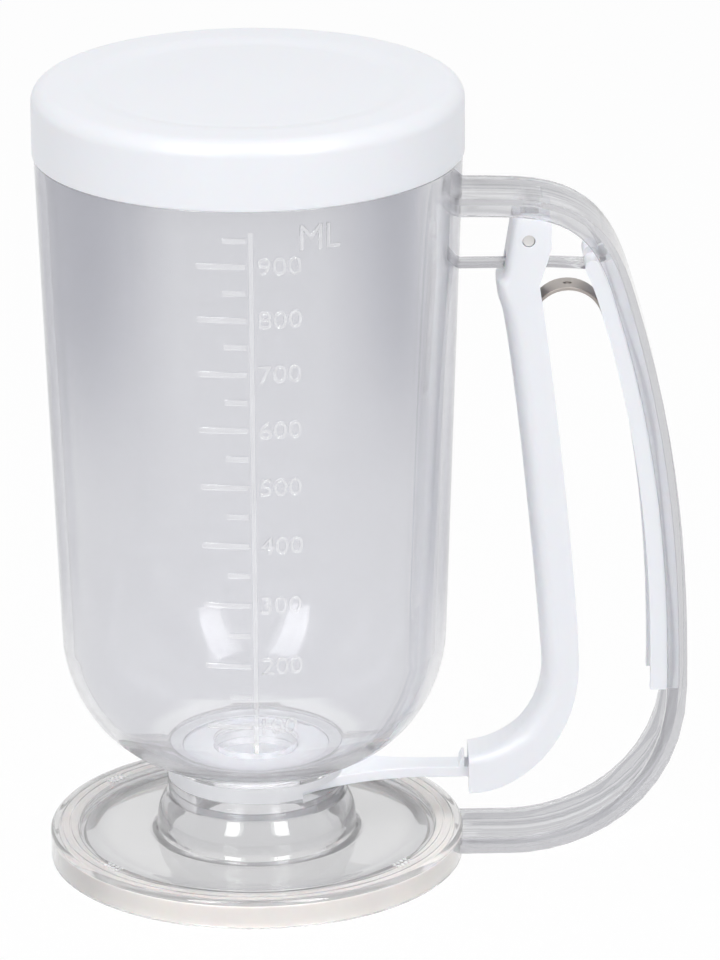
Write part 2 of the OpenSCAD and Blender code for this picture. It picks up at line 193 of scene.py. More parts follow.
class Finish(Nodes):
    """The nodes of one material."""

    def __init__(self, name):
        self.material = bpy.data.materials.new(name)
        self.material.use_nodes = True
        super().__init__(self.material.node_tree)

    def place(self):
        return self.add("ShaderNodeTexCoord", out="Object")

    def axis(self, name):
        return self.add("ShaderNodeSeparateXYZ", sockets={0: self.place()}, out=name)

    def radius(self):
        """Distance from the cup axis."""
        x, y = self.axis("X"), self.axis("Y")
        return (x * x + y * y).root()

    def step(self, value, low, high):
        """0 where the value is low or less, 1 where it is high or more."""
        settings = {"interpolation_type": "SMOOTHSTEP"}
        return self.add("ShaderNodeMapRange", settings, {0: value, 1: low, 2: high})

    def noise(self, scale, detail=2.0, stretch=(1.0, 1.0, 1.0)):
        where = self.add("ShaderNodeMapping", sockets={"Vector": self.place(), "Scale": stretch})
        return self.noise_at(where, scale, detail)

    def noise_at(self, where, scale, detail):
        return self.add("ShaderNodeTexNoise", sockets={"Vector": where, "Scale": scale, "Detail": detail})

    def between(self, factor, first, second):
        """The colour first where factor is 0, second where it is 1."""
        sockets = {0: factor, 6: (*first, 1.0), 7: (*second, 1.0)}
        return self.add("ShaderNodeMix", {"data_type": "RGBA"}, sockets, out=2)

    def bump(self, height, strength, depth):
        sockets = {"Height": height, "Strength": strength, "Distance": depth}
        return self.add("ShaderNodeBump", sockets=sockets)

    def show(self, shader):
        self.add("ShaderNodeOutputMaterial", sockets={"Surface": shader})
        return self.material


# ---- Finishes ------------------------------------------------------------------------------------
def clear_plastic(name, tint, deep_and_painted_shade, haze, rough, lamp_tint, painted_shading=None, ior=1.49):
    """Clear moulded plastic that lamps shine through. An optional mask function paints light and shade
    between the tint and the deeper colour; without one the tone varies at random.
    """
    finish = Finish(name)
    ripple = finish.noise(26.0, detail=1.0)
    wear = finish.noise(700.0, detail=3.0)
    plastic = finish.add("ShaderNodeBsdfPrincipled", sockets={
        "Base Color": finish.between(painted_shading(finish) if painted_shading else finish.noise(30.0), tint, deep_and_painted_shade),
        "Roughness": rough * (0.7 + 0.6 * wear),
        "IOR": ior,
        "Transmission Weight": 1.0 - haze,
        "Normal": finish.bump(ripple, 0.25, 0.25 * MM),
    })
    lamp_colour = (lamp_tint, lamp_tint, lamp_tint, 1.0)
    lamp = finish.add("ShaderNodeBsdfTransparent", sockets={"Color": lamp_colour})
    shadow = finish.add("ShaderNodeLightPath", out="Is Shadow Ray")
    return finish.show(finish.mixed(shadow, plastic, lamp))


def cup_painted_light_and_shade(finish):
    """Painted shade high at the sides and along both edges as seen from the front, painted light high on
    the right, and no deepening round the outlet, so the disc below looks brighter.
    """
    across, along, height = (finish.axis(name) for name in "XYZ")
    high = finish.step(height, 95 * MM, 150 * MM)
    side = finish.step(across.size(), 16 * MM, 38 * MM)
    left = finish.step(0.0 - across, 30 * MM, 48 * MM)
    right = finish.step(across, 38 * MM, 45 * MM)
    above_bowl = finish.step(height, 50 * MM, 80 * MM)
    off_edge = finish.step((along + 3 * MM).size(), 7 * MM, 15 * MM)
    beyond_floor = finish.step(finish.radius(), 25 * MM, 28 * MM)
    upper = high * (0.27 * side + 0.07 * left - 0.42 * right)
    return (0.32 + upper + 0.6 * above_bowl * (1.0 - off_edge)) * beyond_floor


def base_painted_light_and_shade(finish):
    """Deep in the disc and clear in the rim over the milky ring, with painted light that clears the rim
    more at the front and on the right and lightens the foot of the neck.
    """
    rim = finish.step(finish.radius(), 43 * MM, 45 * MM)
    front = 1.0 - finish.step(finish.axis("Y"), -48 * MM, -25 * MM)
    right = finish.step(finish.axis("X"), 10 * MM, 35 * MM)
    near_neck = 1.0 - finish.step(finish.radius(), 35 * MM, 41 * MM)
    low = 1.0 - finish.step(finish.axis("Z"), 6 * MM, 10 * MM)
    return 1.0 - rim * (0.55 + 0.45 * front.larger(right)) - 0.35 * near_neck * low


def handle_painted_reflections(finish):
    """Painted light and dark lines along the handle that stand in for reflections in its edges."""
    depth = finish.add("ShaderNodeAttribute", {"attribute_name": "depth"}, out="Fac")
    sockets = {0: depth.smaller(8 * MM), 1: finish.axis("Y"), 2: 0.0}
    lines = finish.noise_at(finish.add("ShaderNodeCombineXYZ", sockets=sockets), 700.0, 1.0)
    return finish.step(lines, 0.40, 0.60)


def white_plastic(name, pale, deep):
    """Satin white polypropylene with a fine moulded grain and a faint flow cloud."""
    finish = Finish(name)
    cloud = finish.noise(22.0)
    grain = finish.noise(1400.0)
    return finish.show(finish.add("ShaderNodeBsdfPrincipled", sockets={
        "Base Color": finish.between(cloud, deep, pale),
        "Roughness": 0.30 + 0.14 * grain,
        "Subsurface Weight": 0.12,
        "Subsurface Scale": 1.0 * MM,
        "Normal": finish.bump(grain, 0.12, 0.03 * MM),
    }))


def milky_rubber(name, pale, deep):
    """Soft milky plastic, slightly warm, with a matt skin."""
    finish = Finish(name)
    cloud = finish.noise(35.0)
    grain = finish.noise(1200.0)
    return finish.show(finish.add("ShaderNodeBsdfPrincipled", sockets={
        "Base Color": finish.between(cloud, deep, pale),
        "Roughness": 0.45 + 0.2 * grain,
        "Subsurface Weight": 0.25,
        "Subsurface Scale": 2.0 * MM,
        "Normal": finish.bump(grain, 0.15, 0.04 * MM),
    }))


def steel(name, pale, deep, stretch):
    """Bare steel with fine rolling lines."""
    finish = Finish(name)
    lines = finish.noise(1.0, stretch=stretch)
    cloud = finish.noise(60.0)
    return finish.show(finish.add("ShaderNodeBsdfPrincipled", sockets={
        "Base Color": finish.between(cloud, deep, pale),
        "Roughness": 0.28 + 0.18 * lines,
        "Metallic": 1.0,
        "Normal": finish.bump(lines, 0.2, 0.02 * MM),
    }))


# The cup, base and handle colours carry painted light and shade; the other clear finishes vary at random
# between their two colours.
clear_cup = clear_plastic("clear_cup", (0.97, 0.97, 0.975), (0.45, 0.455, 0.51),
                          haze=0.10, rough=0.03, lamp_tint=0.99, painted_shading=cup_painted_light_and_shade)
clear_base = clear_plastic("clear_base", (0.865, 0.86, 0.855), (0.62, 0.62, 0.63),
                           haze=0.15, rough=0.05, lamp_tint=0.98, painted_shading=base_painted_light_and_shade)
clear_parts = clear_plastic("clear_parts", (0.72, 0.72, 0.735), (0.68, 0.68, 0.70),
                            haze=0.12, rough=0.05, lamp_tint=0.98)
clear_marks = clear_plastic("clear_marks", (0.99, 0.99, 0.99), (0.98, 0.98, 0.98),
                            haze=0.03, rough=0.05, lamp_tint=1.0, ior=1.41)
cloudy = clear_plastic("cloudy_plastic", (0.76, 0.765, 0.785), (0.73, 0.735, 0.755),
                       haze=0.9, rough=0.35, lamp_tint=0.9)
clear_handle = clear_plastic("clear_handle", (0.80, 0.80, 0.815), (0.50, 0.50, 0.52),
                             haze=0.12, rough=0.05, lamp_tint=0.98, painted_shading=handle_painted_reflections)
frosted = clear_plastic("frosted_plastic", (0.97, 0.97, 0.98), (0.94, 0.94, 0.96),
                        haze=0.3, rough=0.35, lamp_tint=0.95)
white = white_plastic("white_plastic", (0.86, 0.87, 0.90), (0.83, 0.845, 0.88))
milky = milky_rubber("milky_rubber", (0.745, 0.715, 0.695), (0.72, 0.685, 0.665))
spring_steel = steel("spring_steel", (0.44, 0.40, 0.37), (0.36, 0.33, 0.31), (300.0, 9000.0, 300.0))
pin_steel = steel("pin_steel", (0.72, 0.71, 0.70), (0.60, 0.59, 0.58), (4000.0, 300.0, 4000.0))


# ---- Pieces and meshes ---------------------------------------------------------------------------
def mesh_of(bm, name):
    """A mesh of a bmesh, which is freed."""
    mesh = bpy.data.meshes.new(name)
    bm.to_mesh(mesh)
    bm.free()
    return mesh


def placed(name, data):
    """An object of a mesh, a curve, a lamp or a camera, in the scene."""
    thing = bpy.data.objects.new(name, data)
    scene.collection.objects.link(thing)
    return thing


def evaluated_mesh(thing):
    """A plain mesh of an object with its modifiers done."""
    return bpy.data.meshes.new_from_object(thing.evaluated_get(bpy.context.evaluated_depsgraph_get()))


def applied(piece, kind, **settings):
    """Adds a modifier and turns its result into the piece's mesh."""
    modifier = piece.modifiers.new(kind.lower(), kind)
    for key, value in settings.items():
        setattr(modifier, key, value)
    before, after = piece.data, evaluated_mesh(piece)
    piece.modifiers.clear()
    piece.data = after
    bpy.data.meshes.remove(before)


def new_piece(name, bm, finish, body, node=None):
    """A smooth piece of a mesh, with the body it rides, if one, and the node it stands for, if one."""
    mesh = mesh_of(bm, name)
    mesh.materials.append(finish)
    for face in mesh.polygons:
        face.use_smooth = True
        face.material_index = 0
    piece = placed(name, mesh)
    if body:
        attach(piece, body)
    if node:
        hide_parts(node)
    return piece


def solid_piece(name, bm, finish, body, node=None):
    """A piece whose large faces decide the shading of the small ones beside them."""
    piece = new_piece(name, bm, finish, body, node)
    applied(piece, "WEIGHTED_NORMAL", weight=100, mode="FACE_AREA", keep_sharp=False)
    return piece


def tidied(bm):
    """Joins a mesh's triangles, and makes each flat region one face."""
    bmesh.ops.remove_doubles(bm, verts=bm.verts, dist=SAME_POINT)
    bmesh.ops.dissolve_limit(bm, angle_limit=FLAT, verts=bm.verts, edges=bm.edges)
    return bm


def welded(node):
    """A tidy copy of a CAD node's mesh."""
    bm = bmesh.new()
    bm.from_mesh(cad[node].data)
    return tidied(bm)


def cut(bm, cutter, operation):
    """The mesh after a solid is taken from it, or the mesh inside that solid."""
    whole = placed("whole", mesh_of(bm, "whole"))
    tool = placed("tool", mesh_of(cutter, "tool"))
    applied(whole, "BOOLEAN", operation=operation, object=tool, solver="EXACT")
    result = bmesh.new()
    result.from_mesh(whole.data)
    for mesh in (whole.data, tool.data):
        bpy.data.meshes.remove(mesh)
    return tidied(result)


def block(low, high):
    """A box between two corners."""
    bm = bmesh.new()
    bmesh.ops.create_cube(bm, size=1.0)
    for vert in bm.verts:
        vert.co = Vector((a + (c + 0.5) * (b - a) for a, b, c in zip(low, high, vert.co)))
    return bm


def round_edges(bm, width, sharper_than=28.0):
    """Rounds the edges of a mesh that are sharper than an angle."""
    limit = math.radians(sharper_than)
    sharp = [edge for edge in bm.edges if len(edge.link_faces) == 2 and edge.calc_face_angle(0.0) > limit]
    bmesh.ops.bevel(bm, geom=sharp, offset=width, segments=3, profile=0.5, affect="EDGES",
                    clamp_overlap=True)
    return bm


def skin(bm, pairs):
    """Faces between pairs of rings. A ring on the axis is one vertex, repeated."""
    for lower, upper in pairs:
        count = len(lower)
        for k in range(count):
            n = (k + 1) % count
            bm.faces.new(list(dict.fromkeys((lower[k], lower[n], upper[n], upper[k]))))


# ---- Turned sections -----------------------------------------------------------------------------
def section_of(node):
    """Half section of a turned CAD node, in order, as radius and height, and whether it is a loop."""
    bm = bmesh.new()
    bm.from_mesh(cad[node].data)
    bmesh.ops.remove_doubles(bm, verts=bm.verts, dist=SAME_POINT)
    near = SAME_POINT / 2
    links = {}
    for edge in bm.edges:
        if all(abs(v.co.y) < near and v.co.x > -near for v in edge.verts):
            a, b = edge.verts
            links.setdefault(a.index, []).append(b.index)
            links.setdefault(b.index, []).append(a.index)
    bm.verts.ensure_lookup_table()
    ends = [i for i, others in links.items() if len(others) == 1]
    path = [ends[0] if ends else min(links)]
    while True:
        onward = [i for i in links[path[-1]] if i not in path[-2:] and i != path[0]]
        if not onward:
            break
        path.append(onward[0])
    points = [Vector((bm.verts[i].co.x, bm.verts[i].co.z)) for i in path]
    bm.free()
    if ends:
        points = [Vector((0.0, points[0].y)), *points, Vector((0.0, points[-1].y))]
    return points, not ends


def headings(points, loop):
    """For each point of a section, whether it is a corner, and the direction of a curve through it."""
    count = len(points)
    spans = count if loop else count - 1
    ways = [points[(i + 1) % count] - points[i] for i in range(spans)]
    result = []
    for i in range(count):
        if not loop and i in (0, count - 1):
            result.append((False, ways[0 if i == 0 else -1].normalized()))
            continue
        before, after = ways[i - 1], ways[i % spans]
        if before.length > LONG_SIDE * after.length:
            heading = before
        elif after.length > LONG_SIDE * before.length:
            heading = after
        else:
            heading = before / before.length ** 2 + after / after.length ** 2
        result.append((before.angle(after) > CORNER, heading.normalized()))
    return result


def curved(points, loop):
    """A section with a curve through its gentle bends, as points and whether each is a corner."""
    marks = headings(points, loop)
    count = len(points)
    drawn = []
    for i in range(count if loop else count - 1):
        n = (i + 1) % count
        start, end = points[i], points[n]
        size = (end - start).length
        way = (end - start) / size
        leave, arrive = (way if is_corner else heading for is_corner, heading in (marks[i], marks[n]))
        drawn.append((start, marks[i][0]))
        if max(leave.angle(way), arrive.angle(way)) < STRAIGHT:
            continue
        for k in range(1, CURVE_STEPS):
            t = k / CURVE_STEPS
            point = ((2 * t ** 3 - 3 * t ** 2 + 1) * start + (t ** 3 - 2 * t ** 2 + t) * size * leave
                     + (3 * t ** 2 - 2 * t ** 3) * end + (t ** 3 - t ** 2) * size * arrive)
            drawn.append((point, False))
    if not loop:
        drawn.append((points[-1], False))
    return drawn


def smooth_section(points, loop, fillet):
    """Draws a curve through the gentle bends of a section and rounds its corners."""
    drawn = curved(points, loop)
    rounded = []
    for i, (point, is_corner) in enumerate(drawn):
        if not is_corner:
            rounded.append(point)
            continue
        before = drawn[i - 1][0] - point
        after = drawn[(i + 1) % len(drawn)][0] - point
        turn = math.pi - before.angle(after)
        most = FILLET_SHARE * min(before.length, after.length)
        reach = min(fillet * math.tan(turn / 2), most)
        first, last = point + before.normalized() * reach, point + after.normalized() * reach
        for k in range(FILLET_STEPS + 1):
            t = k / FILLET_STEPS
            rounded.append((1 - t) ** 2 * first + 2 * t * (1 - t) * point + t ** 2 * last)
    return rounded


def turned(points, loop):
    """Spins a section round the cup axis."""
    bm = bmesh.new()
    angles = [2 * math.pi * k / SEGMENTS for k in range(SEGMENTS)]
    rings = []
    for radius, height in points:
        if radius < HAIR:
            rings.append([bm.verts.new((0, 0, height))] * SEGMENTS)
        else:
            circle = [(radius * math.cos(angle), radius * math.sin(angle), height) for angle in angles]
            rings.append([bm.verts.new(place) for place in circle])
    skin(bm, list(zip(rings, rings[1:])) + ([(rings[-1], rings[0])] if loop else []))
    bmesh.ops.recalc_face_normals(bm, faces=bm.faces)
    return bm


# ---- Turned pieces: cup, base, foot ring and lid -------------------------------------------------
def turned_piece(node, name, finish, body, fillet, reshape=None):
    """Turns a CAD node's section again with finer curves, and returns the section."""
    points, loop = section_of(node)
    outline = smooth_section(reshape(points) if reshape else points, loop, fillet)
    solid_piece(name, turned(outline, loop), finish, body, node)
    return outline


def parted(points, height, way):
    """Moves the points at a height by a hairline, so that two clear parts share no face."""
    for point in points:
        if abs(point.y - height) < HAIR:
            point.y += way * SEAM
    return points


def cup_section(points):
    """The cup's section, parted from the housing below it."""
    return parted(points, housing_high.z, 1)


def base_section(points):
    """The base's section, parted from the housing above it, with fine grooves in the top of its rim."""
    beyond = [i for i in range(len(points) - 1) if min(points[i].x, points[i + 1].x) > RIM_INSIDE]
    top = max(beyond, key=lambda i: points[i].y + points[i + 1].y)
    start, end = points[top], points[top + 1]
    along = (end - start).normalized()
    grooves = []
    for place in GROOVE_PLACES:
        middle = start.lerp(end, place)
        grooves += [middle + along * way * MM - Vector((0, depth * MM)) for way, depth in GROOVE]
    return parted(points[:top + 1] + grooves + points[top + 1:], housing_low.z, -1)


def lid_section(points):
    """The lid's section, from its middle outwards, with the wall of the dish as a gentle slope."""
    low, top = points[0].y, max(point.y for point in points)
    slope = []
    for k in range(DISH_STEPS + 1):
        t = k / DISH_STEPS
        height = low + (top - low) * (0.5 - 0.5 * math.cos(math.pi * t))
        slope.append(Vector((DISH_INNER + (DISH_OUTER - DISH_INNER) * t, height)))
    rest = [point for point in points if point.x > DISH_OUTER or point.y < low - HAIR]
    return points[:1] + slope + rest


cup_outline = turned_piece("cup", "clear_cup", clear_cup, "dispenser", CLEAR_FILLET,
                           cup_section)
base_outline = turned_piece("base_stand", "clear_base", clear_base, "dispenser",
                            CLEAR_FILLET, base_section)
turned_piece("foot_ring", "milky_foot_ring", milky, "dispenser", SOFT_FILLET)
turned_piece("lid", "push_on_lid", white, "lid", SOFT_FILLET, lid_section)


# ---- Graduations: bars from a node tree, and raised figures --------------------------------------
def cup_radius(height):
    """Radius of the outside of the cup."""
    sides = [(a, b) for a, b in zip(cup_outline, cup_outline[1:])
             if min(a.y, b.y) <= height < max(a.y, b.y)]
    return max(a.x + (b.x - a.x) * (height - a.y) / (b.y - a.y) for a, b in sides)


def wrapped(mesh):
    """Bends a flat mesh round the cup: X runs round from the front, Y stands out, Z is the height."""
    turn = 1.0 / cup_radius(CUP_MIDDLE)
    for vert in mesh.vertices:
        across, out, height = vert.co
        angle = across * turn - math.pi / 2
        radius = cup_radius(height) + out
        vert.co = (radius * math.cos(angle), radius * math.sin(angle), height)
    return mesh


def bar_tree():
    """A bar at each point of a mesh, as wide and as tall as the point's two attributes say."""
    tree = bpy.data.node_groups.new("bars", "GeometryNodeTree")
    kinds = {"Points": "Geometry", "Columns": "Int", "Rows": "Int", "Relief": "Float", "Finish": "Material"}
    names = {}
    for name, kind in kinds.items():
        socket = tree.interface.new_socket(name, in_out="INPUT", socket_type="NodeSocket" + kind)
        names[name] = socket.identifier
    tree.interface.new_socket("Bars", in_out="OUTPUT", socket_type="NodeSocketGeometry")
    nodes = Nodes(tree)

    def given(name):
        return nodes.add("NodeGroupInput", out=name)

    def attribute(name):
        settings = {"data_type": "FLOAT"}
        return nodes.add("GeometryNodeInputNamedAttribute", settings, {"Name": name}, out="Attribute")

    cube = nodes.add("GeometryNodeMeshCube", sockets={
        "Size": (1.0, 1.0, 1.0),
        "Vertices X": given("Columns"),
        "Vertices Z": given("Rows"),
    }, out="Mesh")
    size = nodes.add("ShaderNodeCombineXYZ", sockets={
        0: attribute("wide"),
        1: given("Relief"),
        2: attribute("tall"),
    })
    bars = nodes.add("GeometryNodeInstanceOnPoints", sockets={
        "Points": given("Points"),
        "Instance": cube,
        "Scale": size,
    })
    solid = nodes.add("GeometryNodeRealizeInstances", sockets={0: bars})
    shown = nodes.add("GeometryNodeSetMaterial", sockets={"Geometry": solid, "Material": given("Finish")})
    nodes.add("NodeGroupOutput", sockets={0: shown})
    return tree, names


bar_nodes, bar_inputs = bar_tree()


def scale_bars(name, places, columns, rows):
    """Raised bars. A place is the left end, the right end, the low edge and the high edge of one."""
    points = bpy.data.meshes.new(name)
    middle_out = LIFT + BAR_RELIEF / 2
    middles = [((left + right) / 2, middle_out, (low + high) / 2) for left, right, low, high in places]
    points.from_pydata(middles, [], [])
    sizes = {
        "wide": [right - left for left, right, _, _ in places],
        "tall": [high - low for _, _, low, high in places],
    }
    for key, values in sizes.items():
        points.attributes.new(key, "FLOAT", "POINT").data.foreach_set("value", values)
    seeds = placed(name + "_points", points)
    modifier = seeds.modifiers.new("bars", "NODES")
    modifier.node_group = bar_nodes
    given = {"Columns": columns, "Rows": rows, "Relief": BAR_RELIEF, "Finish": clear_marks}
    for key, value in given.items():
        modifier[bar_inputs[key]] = value
    flat = evaluated_mesh(seeds)
    bm = bmesh.new()
    bm.from_mesh(wrapped(flat))
    for mesh in (points, flat):
        bpy.data.meshes.remove(mesh)
    round_edges(bm, BAR_EDGE, sharper_than=50.0)
    new_piece(name, bm, clear_marks, "dispenser")


def text_mesh(text):
    """A word as a solid with round edges, with X along it and Y up."""
    curve = bpy.data.curves.new("word", "FONT")
    curve.body = text
    curve.extrude = 0.01
    curve.bevel_depth = 0.035
    curve.bevel_resolution = 2
    curve.offset = -0.02
    mesh = evaluated_mesh(placed("word", curve))
    bpy.data.curves.remove(curve)
    return mesh


def extent(mesh):
    """Lowest and highest corner of a mesh."""
    sides = list(zip(*(vert.co for vert in mesh.vertices)))
    return [Vector([pick(side) for side in sides]) for pick in (min, max)]


def scale_figures(name, words):
    """Raised figures. A word is its text, left end, middle height, letter height and stretch."""
    whole = bmesh.new()
    for text, left, middle, tall, stretch in words:
        mesh = text_mesh(text)
        low, high = extent(mesh)
        scale = tall / (high.y - low.y)
        for vert in mesh.vertices:
            x, y, z = vert.co
            vert.co = (
                left + (x - low.x) * scale * stretch,
                LIFT + FIGURE_RELIEF * (z - low.z) / (high.z - low.z),
                middle + (y - (low.y + high.y) / 2) * scale,
            )
        whole.from_mesh(wrapped(mesh))
        bpy.data.meshes.remove(mesh)
    bmesh.ops.remove_doubles(whole, verts=whole.verts, dist=SAME_POINT)
    bmesh.ops.recalc_face_normals(whole, faces=whole.faces)
    new_piece(name, whole, clear_marks, "dispenser")


def mark_height(step):
    """Height of a mark, 0 for 100 ml and 1 more for each 100 ml. They close up as the cup widens."""
    return FIRST_MARK + MARK_STEP * step - MARK_CLOSING * step * (step - 1)


def mark_bar(left, height):
    """Place of a bar that ends at the common right end."""
    return left, BAR_RIGHT, height - BAR / 2, height + BAR / 2


long_marks = [mark_height(step) for step in range(9)]
short_marks = [mark_height(step + 0.5) for step in range(9)]
mark_bars = [mark_bar(LONG_LEFT, height) for height in long_marks]
mark_bars += [mark_bar(SHORT_LEFT, height) for height in short_marks]
scale_bars("clear_scale_marks", mark_bars, columns=10, rows=2)
scale_bars("clear_scale_line", [(LINE_LEFT, LINE_RIGHT, LINE_LOW, LINE_HIGH)], columns=2, rows=90)
numbers = [(str(100 * step), FIGURE_LEFT, height, FIGURE_TALL, FIGURE_STRETCH)
           for step, height in enumerate(long_marks, 1)]
scale_figures("clear_scale_figures", [*numbers, UNIT])


# ---- Weld pips -----------------------------------------------------------------------------------
def weld_pips(number, angle):
    """A patch of small pips on the inner border of the base's rim."""
    bm = bmesh.new()
    turn = Matrix.Rotation(math.radians(angle), 4, "Z")
    rim_top = max(point.y for point in base_outline if point.x > RIM_INSIDE)
    for out in PIP_RADII:
        for across in PIP_PLACES:
            place = turn @ Matrix.Translation((out, across, rim_top)) @ Matrix.Diagonal((*PIP, 1))
            bmesh.ops.create_uvsphere(bm, u_segments=16, v_segments=8, radius=1.0, matrix=place)
    new_piece("weld_pip_%d" % number, bm, frosted, "dispenser")


for number, angle in enumerate(PIP_ANGLES):
    weld_pips(number, angle)


# ---- Trigger -------------------------------------------------------------------------------------
def side_loop(bm, side, first):
    """Outline of the flat side at y = side, in X and Z, from the vertex that comes first by a key."""
    links = {}
    for edge in bm.edges:
        if all(abs(v.co.y - side) < HAIR for v in edge.verts) and edge.calc_face_angle(0.0) > OUTLINE:
            a, b = edge.verts
            links.setdefault(a, []).append(b)
            links.setdefault(b, []).append(a)
    start = min(links, key=first)
    path = [start]
    while True:
        onward = [vert for vert in links[path[-1]] if vert not in path[-2:]]
        if not onward or onward[0] is start:
            break
        path.append(onward[0])
    return [Vector((vert.co.x, vert.co.z)) for vert in path]


def front_of(loop):
    """The part of the trigger's outline that faces the cup, from the top of the ears to the end."""
    top, left = max(point.y for point in loop), min(point.x for point in loop)
    at_top = [i for i, point in enumerate(loop) if point.y > top - EAR_TOP]
    at_left = [i for i, point in enumerate(loop) if point.x < left + HAIR]
    first = min(at_top, key=lambda i: loop[i].x)
    last = max(at_left, key=lambda i: loop[i].y)
    ordered = loop[first:] + loop[:first]
    count = (last - first) % len(loop)
    one = ordered[:count + 1]
    other = ordered[:1] + ordered[:count - 1:-1]
    return min(one, other, key=lambda way: sum(point.x for point in way) / len(way))


def evened(points, pitch):
    """The same line with a point at every pitch along it."""
    result, left = [points[0].copy()], pitch
    for a, b in zip(points, points[1:]):
        length, done = (b - a).length, 0.0
        while done + left <= length:
            done += left
            result.append(a.lerp(b, done / length))
            left = pitch
        left -= length - done
    return result


def progress(value, start, end):
    """0 at the start or before it, 1 at the end or beyond it."""
    return min(max((value - start) / (end - start), 0.0), 1.0)


def front_round(height):
    """Radius of the front edges: small at the pin, generous below the neck, small again at the end."""
    neck = progress(height, pivot.z - NECK_TOP, pivot.z - NECK_END)
    end = progress(height, slide_top, slide_top + END_HEIGHT)
    return (EAR_ROUND + NECK_GAIN * neck) * (END_SHARE + (1.0 - END_SHARE) * end)


def cutter_section(half_width, radius):
    """Section of an edge cutter, as distances from the middle and behind the front."""
    outside = half_width + CUTTER_MARGIN
    arc = [(half_width - radius + radius * math.cos(t), radius - radius * math.sin(t))
           for t in (math.pi / 2 * k / 8 for k in range(9))]
    return [(outside, -CUTTER_MARGIN), (outside, radius), *arc, (half_width - radius, -CUTTER_MARGIN)]


def edge_cutter(front, half_width):
    """Two solids that take the corners off both sides of a front and leave rounds."""
    line = evened(front, CUTTER_PITCH)
    last = len(line) - 1
    bm = bmesh.new()
    for sign in (1, -1):
        rings = []
        for i in range(-2, last + 3):
            near = min(max(i, 0), last)
            ahead, behind = min(near + CUTTER_REACH, last), max(near - CUTTER_REACH, 0)
            along = (line[ahead] - line[behind]).normalized()
            here = line[near] + along * CUTTER_PITCH * (i - near)
            inward = Vector((-along.y, along.x))
            rings.append([bm.verts.new((here.x + inward.x * depth, sign * out, here.y + inward.y * depth))
                          for out, depth in cutter_section(half_width, front_round(here.y))])
        skin(bm, zip(rings, rings[1:]))
        bm.faces.new(rings[0])
        bm.faces.new(rings[-1][::-1])
    bmesh.ops.recalc_face_normals(bm, faces=bm.faces)
    return bm


trigger_mesh = welded("trigger")
front = front_of(side_loop(trigger_mesh, trigger_low.y, lambda vert: vert.co.x))
trigger_mesh = cut(trigger_mesh, edge_cutter(front, trigger_high.y), "DIFFERENCE")
round_edges(trigger_mesh, TRIGGER_EDGE)
solid_piece("white_trigger", trigger_mesh, white, "trigger", "trigger")


# ---- Handle: clear, with painted reflection lines, and a frosted lug between the ears ------------
def mark_depth(piece, outline):
    """Stores how far each vertex lies from an outline, seen from the side."""
    line = evened(outline + outline[:1], FLOW_LINE)
    tree = KDTree(len(line))
    for i, point in enumerate(line):
        tree.insert((point.x, 0.0, point.y), i)
    tree.balance()
    depths = [tree.find((vert.co.x, 0.0, vert.co.z))[2] for vert in piece.data.vertices]
    piece.data.attributes.new("depth", "FLOAT", "POINT").data.foreach_set("value", depths)


lug_low = pivot - LUG
lug_high = Vector((pivot.x + LUG.x, LUG.y, handle_high.z - LUG_COVER))
handle_mesh = welded("handle")
handle_outline = side_loop(handle_mesh, handle_low.y, lambda vert: -vert.co.x)
handle_mesh = cut(handle_mesh, block(lug_low - GAP, lug_high + GAP), "DIFFERENCE")
round_edges(handle_mesh, HANDLE_EDGE)
handle = solid_piece("clear_handle", handle_mesh, clear_handle, "dispenser", "handle")
mark_depth(handle, handle_outline)
lug_mesh = cut(welded("handle"), block(lug_low, lug_high), "INTERSECT")
round_edges(lug_mesh, LUG_EDGE)
solid_piece("frosted_lug", lug_mesh, frosted, "dispenser")

# ---- Valve housing: clear below, cloudy above ----------------------------------------------------
collar_low = housing_low - BEYOND
collar_low.z = housing_low.z + CLEAR_HEIGHT
collar_high = housing_high + BEYOND
housing_mesh = cut(welded("valve_housing"), block(collar_low, collar_high), "DIFFERENCE")
round_edges(housing_mesh, HOUSING_EDGE)
solid_piece("clear_valve_housing", housing_mesh, clear_parts, "dispenser", "valve_housing")
collar_mesh = cut(welded("valve_housing"), block(collar_low + GAP, collar_high), "INTERSECT")
round_edges(collar_mesh, COLLAR_EDGE)
solid_piece("cloudy_collar", collar_mesh, cloudy, "dispenser")

# ---- Grip liner and valve slide ------------------------------------------------------------------
liner_mesh = round_edges(welded("grip_liner"), LINER_EDGE)
solid_piece("white_grip_liner", liner_mesh, white, "dispenser", "grip_liner")
slide_mesh = round_edges(welded("valve_slide"), SLIDE_EDGE)
solid_piece("white_valve_slide", slide_mesh, white, "valve_slide", "valve_slide")

# ---- Pivot pin: a little below both ears, with a chamfer and a dimple at each end ----------------
pin_mesh = welded("pivot_pin")
for vert in pin_mesh.verts:
    vert.co.y -= math.copysign(PIN_SUNK, vert.co.y)
round_edges(pin_mesh, PIN_CHAMFER)
pin_ends = [face for face in pin_mesh.faces if abs(face.normal.y) > 0.99]
bmesh.ops.inset_individual(pin_mesh, faces=pin_ends, thickness=DIMPLE_RIM, depth=-DIMPLE_DEPTH)
solid_piece("steel_pivot_pin", pin_mesh, pin_steel, "dispenser", "pivot_pin")

# ---- Leaf spring: its left leg lies in the trigger, its right leg in the liner; it rides no body ---
spring_mesh = round_edges(welded("leaf_spring"), SPRING_EDGE)
spring = solid_piece("steel_leaf_spring", spring_mesh, spring_steel, None, "leaf_spring")
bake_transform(spring)

# ---- Camera, lamps, floor and background ---------------------------------------------------------
EYE = Vector((0.0, -1.4395, 0.6058))
PITCH, YAW, ROLL = 0.3400, 0.0181, -0.0069
LENS, SENSOR = 236.03, 36.0
NEAR, FAR = 0.05, 30.0
MIDDLE = Vector((0, 0, 0.1))  # the lamps face this point
FLOOR_HALF, FLOOR_BACK, FLOOR_DROP = 1.6, 0.2, 0.15 * MM
WHITE = (1.0, 1.0, 1.0, 1.0)


